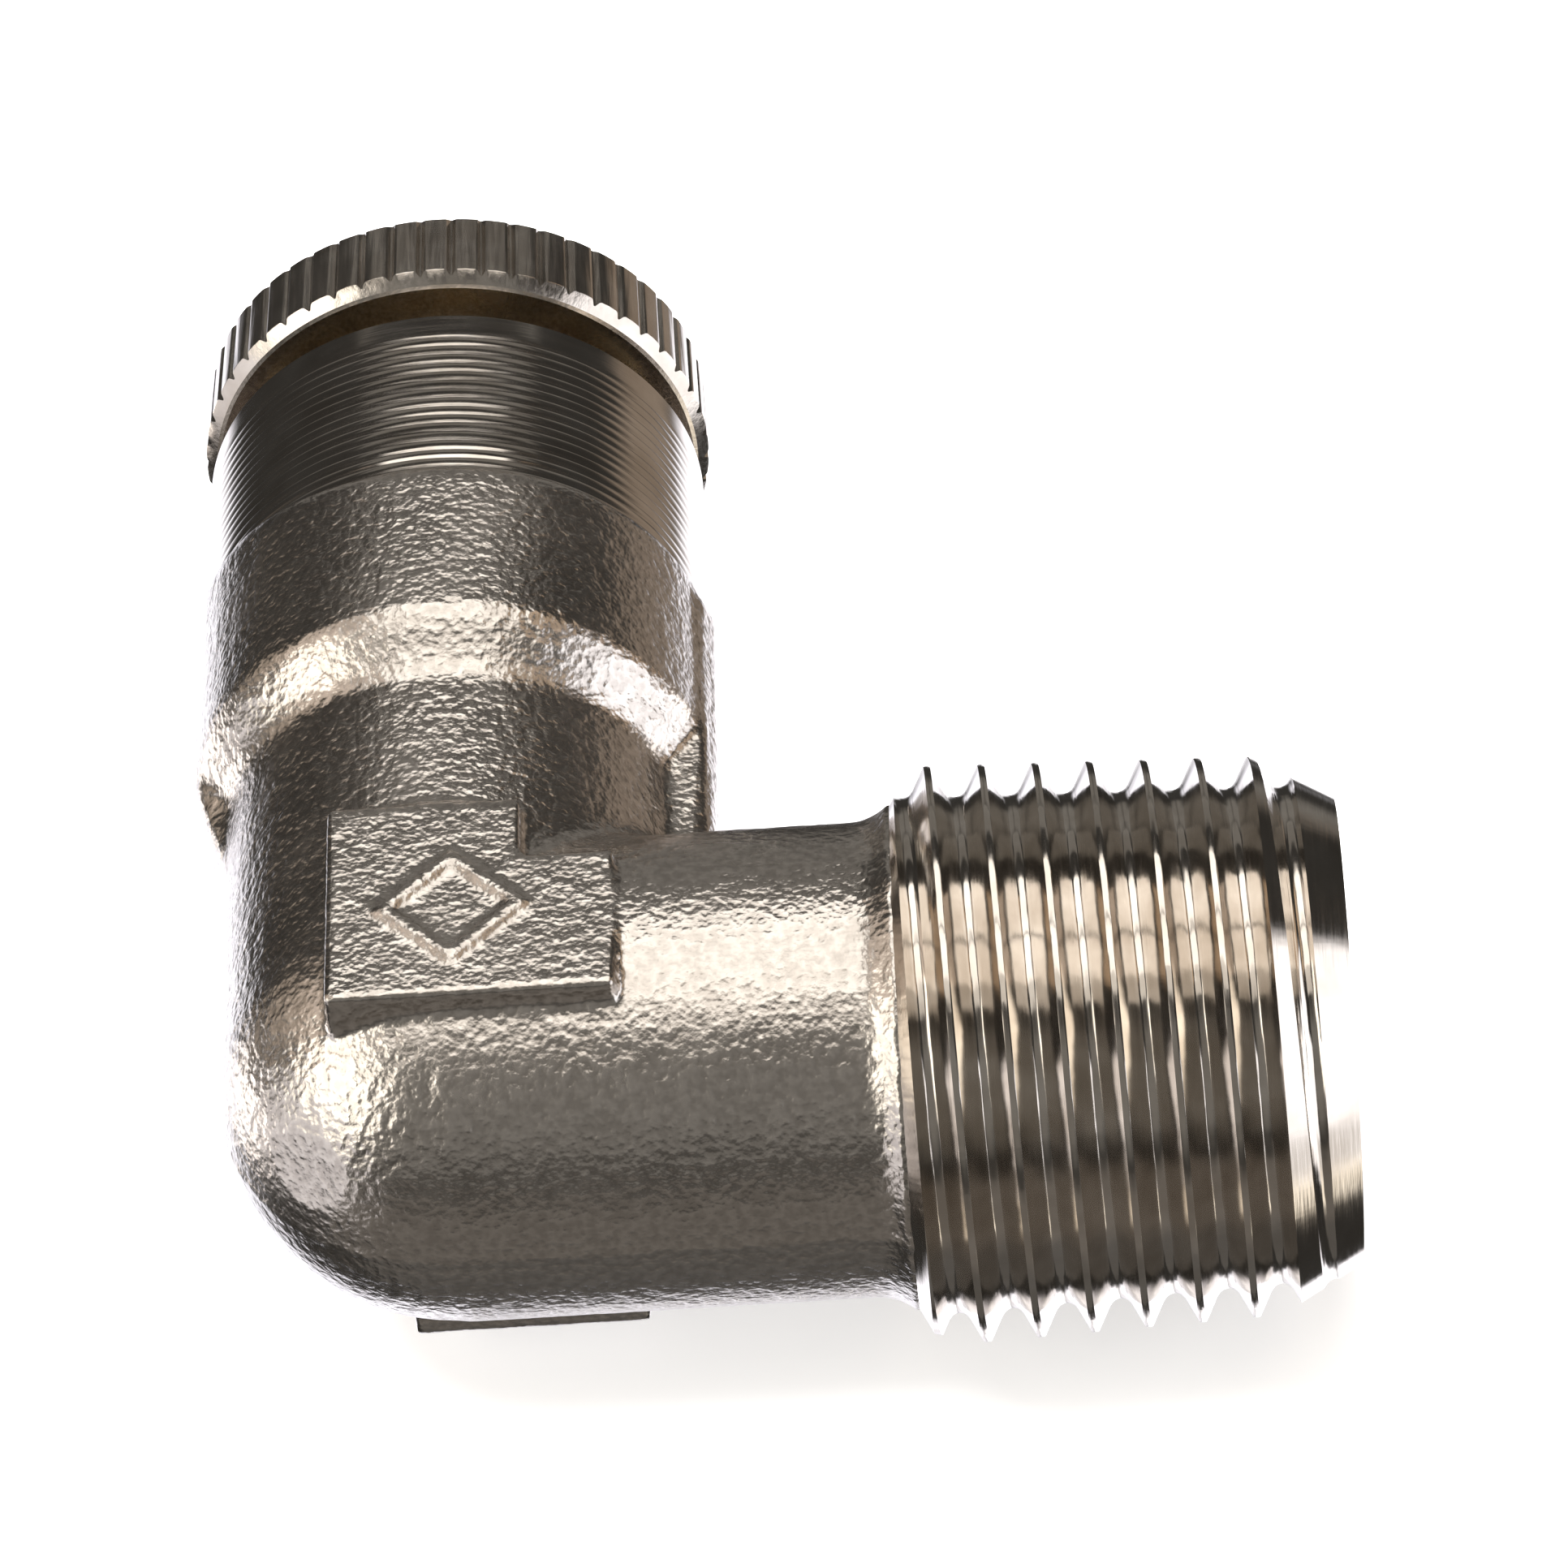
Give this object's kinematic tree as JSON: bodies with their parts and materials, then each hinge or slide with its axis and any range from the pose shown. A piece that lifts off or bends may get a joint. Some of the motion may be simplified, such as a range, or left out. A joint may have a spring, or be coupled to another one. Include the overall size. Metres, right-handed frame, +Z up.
{
  "type": "push-in elbow fitting",
  "caption": "Nickel-plated brass elbow joining a push-in tube socket with a knurled release ring to a male taper pipe thread.",
  "frame": {"origin": "middle of the part's plan, on the surface that it lies on", "axes": "+X runs out of the male thread, +Y out of the tube socket, +Z up, square to the plane of the two legs"},
  "size_m": [0.0196, 0.022, 0.0097],
  "materials": {
    "forged_nickel": "shot-blasted forging, satin nickel plated, bright where it is turned",
    "turned_nickel": "turned and knurled, bright nickel plated",
    "brass": "turned, plain",
    "stainless": "stamped spring sheet",
    "rubber": "moulded, matt black"
  },
  "bodies": {
    "fitting_body": {"elbow_body": "forged_nickel", "tube_seal": "rubber", "grip_support": "brass", "grip_ring": "stainless", "retaining_bush": "brass"},
    "release_collar": {"release_ring": "turned_nickel", "pusher_sleeve": "turned_nickel"}
  },
  "joints": [
    {"name": "collar_press", "type": "slide", "parent": "fitting_body", "child": "release_collar", "axis": [0, -1, 0], "range_m": [0, 0.0007], "stiffness_N_per_m": 1500}
  ]
}
